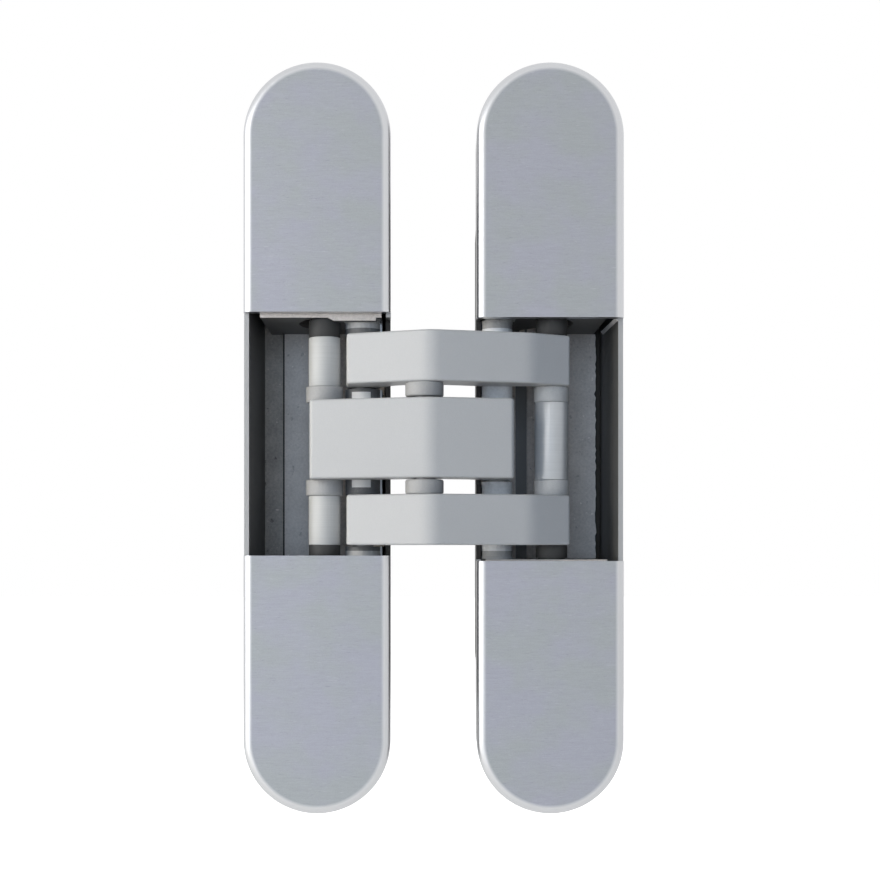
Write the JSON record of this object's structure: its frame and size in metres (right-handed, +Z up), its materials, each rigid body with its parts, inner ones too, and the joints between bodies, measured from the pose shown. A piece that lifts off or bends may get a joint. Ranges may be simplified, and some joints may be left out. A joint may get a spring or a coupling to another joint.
{
  "type": "concealed door hinge",
  "caption": "Concealed three-way adjustable door hinge with two round-ended leaves, satin cover caps and crossing arms on slide pins, shown open flat.",
  "frame": {"origin": "middle of the frame leaf's four fixing holes, on the back of the fixing ends, its seat plane", "axes": "+Z up along the leaves, +X from the frame leaf to the open door leaf, +Y into the frame and the door edge; the covers look along -Y"},
  "size_m": [0.0775, 0.0386, 0.153],
  "materials": {
    "satin_cover": "fine cross-brushed satin face with a bright polished rounded rim",
    "cast_housing": "dark grey coated die casting, slightly grainy",
    "cast_carriage": "dark grey coated die casting, slightly grainy",
    "silver_arm": "matt silver coating",
    "silver_sleeve": "satin turned",
    "grey_ring": "matt grey",
    "bearing_bush": "matt dark bearing polymer",
    "zinc_screw": "bright zinc plated",
    "steel_pin": "ground steel"
  },
  "bodies": {
    "frame_leaf": {"frame_adjusting_screws": "zinc_screw", "frame_carriage": "cast_carriage", "frame_clamp_screws": "zinc_screw", "frame_housing": "cast_housing", "frame_lower_cap": "satin_cover", "frame_pivot_pin": "steel_pin", "frame_upper_cap": "satin_cover"},
    "outer_arms": {"upper_outer_arm": "silver_arm", "lower_outer_arm": "silver_arm", "crossing_pin": "steel_pin", "upper_spacer": "grey_ring", "lower_spacer": "grey_ring", "upper_pivot_bush": "bearing_bush", "lower_pivot_bush": "bearing_bush", "outer_slide_pin": "steel_pin", "middle_sleeve": "silver_sleeve", "upper_outer_washer": "grey_ring", "lower_outer_washer": "grey_ring", "upper_outer_shoe": "grey_ring", "lower_outer_shoe": "grey_ring"},
    "middle_arm": {"crossing_bush": "bearing_bush", "inner_slide_pin": "steel_pin", "lower_inner_shoe": "grey_ring", "lower_inner_washer": "grey_ring", "lower_sleeve": "silver_sleeve", "middle_arm": "silver_arm", "middle_pivot_bush": "bearing_bush", "upper_inner_shoe": "grey_ring", "upper_inner_washer": "grey_ring", "upper_sleeve": "silver_sleeve"},
    "door_leaf": {"door_adjusting_screws": "zinc_screw", "door_carriage": "cast_carriage", "door_clamp_screws": "zinc_screw", "door_housing": "cast_housing", "door_lower_cap": "satin_cover", "door_pivot_pin": "steel_pin", "door_upper_cap": "satin_cover"}
  },
  "joints": [
    {"name": "frame_pivot", "type": "hinge", "parent": "frame_leaf", "child": "outer_arms", "pos_m": [0.00905, -0.0054, 0], "axis": [0, 0, 1], "range_deg": [-96.49, 0]},
    {"name": "crossing_pivot", "type": "hinge", "parent": "outer_arms", "child": "middle_arm", "pos_m": [0.02185, -0.0176, 0], "axis": [0, 0, 1], "range_deg": [0, 18.2]},
    {"name": "door_pivot", "type": "hinge", "parent": "middle_arm", "child": "door_leaf", "pos_m": [0.037, -0.0054, 0], "axis": [0, 0, 1], "range_deg": [-101.71, 0]}
  ],
  "couplings": [
    {"joint": "crossing_pivot", "follows": "frame_pivot", "ratio": -0.18853},
    {"joint": "door_pivot", "follows": "frame_pivot", "ratio": 1.054}
  ]
}
